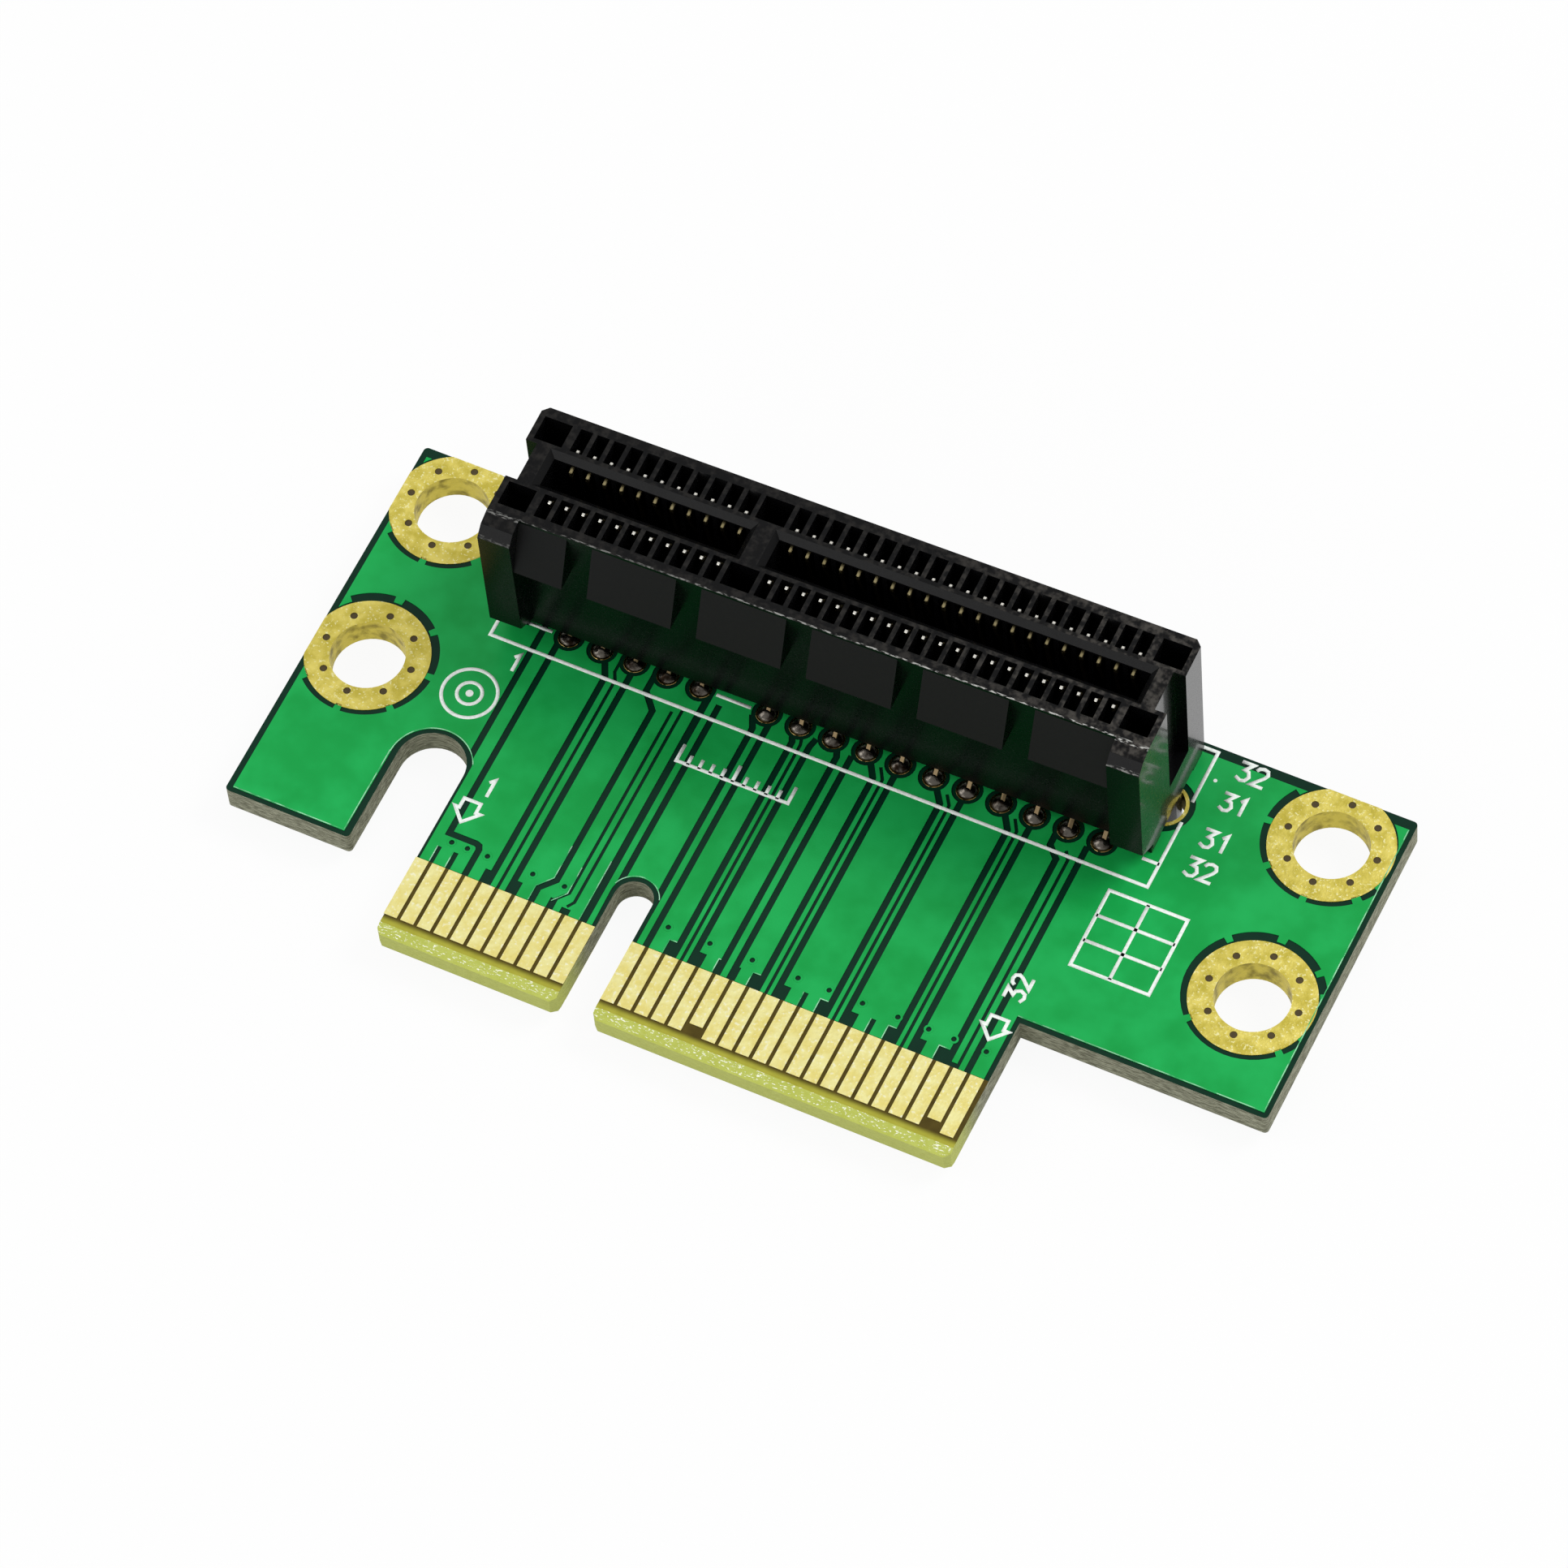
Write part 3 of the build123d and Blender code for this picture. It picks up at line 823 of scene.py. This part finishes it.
# Camera at the photograph's place: the fitted pinhole, looking down from the front right with a
# small roll.
camera_place = (0.131339, -0.223823, 0.428166)
elevation, azimuth = radians(58.857), radians(31.173)
forward = -Vector((cos(elevation) * sin(azimuth), -cos(elevation) * cos(azimuth), sin(elevation)))
upward = Vector((-0.3467, 0.7846, 0.5141)).normalized()
rightward = forward.cross(upward)
camera_data = bpy.data.cameras.new("camera")
camera_data.sensor_width = 36
camera_data.lens = 212.21
camera_data.clip_start = 0.01
camera = bpy.data.objects.new("camera", camera_data)
bpy.context.collection.objects.link(camera)
turn = Matrix((rightward, upward, -forward)).transposed().to_4x4()
camera.matrix_world = Matrix.Translation(camera_place) @ turn
bpy.context.scene.camera = camera

# Floor and light: a white table in a plain white room, with three soft lamps. The camera and glossy
# surfaces see the floor nearly white, and it keeps a trace of the object's shadow.
floor_width = 3
glow_share = 0.93
lamp_distance = 0.6
room_light = 0.64
bpy.ops.object.select_all(action="DESELECT")
bpy.ops.mesh.primitive_plane_add(size=floor_width, location=(0, 0, cad_box[0].z))
floor = bpy.context.object
floor.name = "floor"
floor_looks = {"Base Color": (0.8, 0.8, 0.8, 1), "Roughness": 0.9, "Specular IOR Level": 0.0}
floor_finish = Finish("floor", floor_looks)
rays = ("Is Camera Ray", "Is Glossy Ray")
paths = [floor_finish.node("ShaderNodeLightPath", {}, {}, ray) for ray in rays]
seen = paths[0].through("MAXIMUM", *paths)
plain = Maths(floor_finish, floor_finish.shader.outputs[0])
glow = floor_finish.node("ShaderNodeEmission", {}, {})
blend = floor_finish.node("ShaderNodeMixShader", {}, {0: glow_share * seen, 1: plain, 2: glow})
floor_finish.fill(floor_finish.tree.nodes["Material Output"], {"Surface": blend})
floor.data.materials.append(floor_finish.material)

world = bpy.data.worlds.new("room")
world.use_nodes = True
background = world.node_tree.nodes["Background"]
background.inputs["Color"].default_value = (1, 1, 1, 1)
background.inputs["Strength"].default_value = room_light
bpy.context.scene.world = world


def lamp(name, towards, size, power):
    """A round soft lamp over half a metre away, which faces the object."""
    data = bpy.data.lights.new(name, "AREA")
    data.shape = "DISK"
    data.size = size
    data.energy = power
    softbox = bpy.data.objects.new(name, data)
    bpy.context.collection.objects.link(softbox)
    softbox.location = Vector(towards).normalized() * lamp_distance
    softbox.rotation_euler = Vector(towards).to_track_quat("Z", "Y").to_euler()


lamp("softbox_right", (0.5, 0.42, 0.7), 0.3, 1.7)
lamp("softbox_front", (-0.27, -0.86, 0.44), 0.3, 0.5)
lamp("softbox_left", (-0.75, -0.25, 0.6), 0.3, 0.6)
bpy.context.scene.view_settings.view_transform = "Standard"
